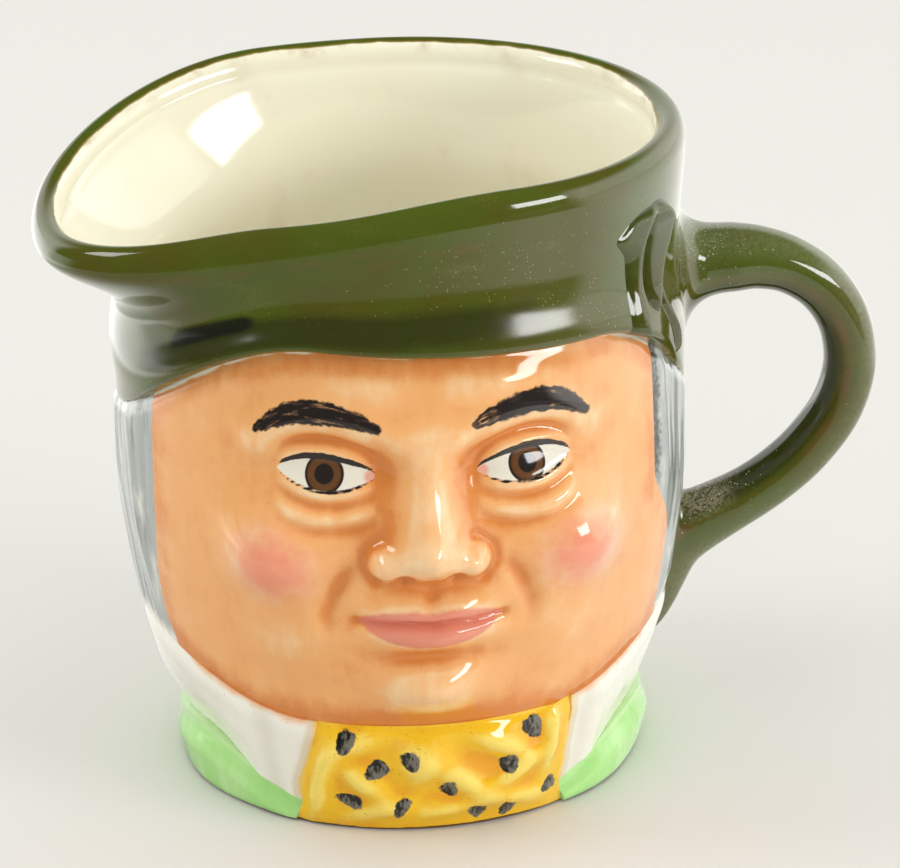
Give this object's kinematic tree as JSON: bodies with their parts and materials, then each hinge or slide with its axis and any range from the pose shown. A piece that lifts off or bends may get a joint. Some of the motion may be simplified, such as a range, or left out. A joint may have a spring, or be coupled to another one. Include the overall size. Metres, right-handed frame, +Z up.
{
  "type": "character jug",
  "caption": "Small glazed earthenware cream jug shaped as a head: the hat is the rim and pouring lip, with a looped side handle, collar, spotted cravat and coat.",
  "frame": {"origin": "centre of the foot, on the surface that the jug stands on", "axes": "+Z up, -Y the way the face looks, +X towards the handle, so the pouring lip is at -X"},
  "size_m": [0.0836, 0.0631, 0.067],
  "materials": {
    "cream_glaze": "glossy ivory glaze, bare clay at the foot",
    "green_glaze": "glossy dark olive green glaze, thin and golden at edges",
    "flesh_glaze": "glossy orange-tan flesh glaze with rosy cheeks",
    "hair_wash": "glossy streaked grey wash",
    "white_glaze": "glossy white glaze",
    "yellow_glaze": "glossy yellow glaze with black dabbed spots",
    "pale_green_glaze": "glossy pale green glaze"
  },
  "bodies": {
    "root": {"pot": "cream_glaze", "hat": "green_glaze", "face": "flesh_glaze", "hair_left": "hair_wash", "hair_right": "hair_wash", "collar_left": "white_glaze", "collar_right": "white_glaze", "cravat": "yellow_glaze", "coat_left": "pale_green_glaze", "coat_right": "pale_green_glaze", "handle": "green_glaze", "hat_ribbon": "green_glaze"}
  },
  "joints": []
}
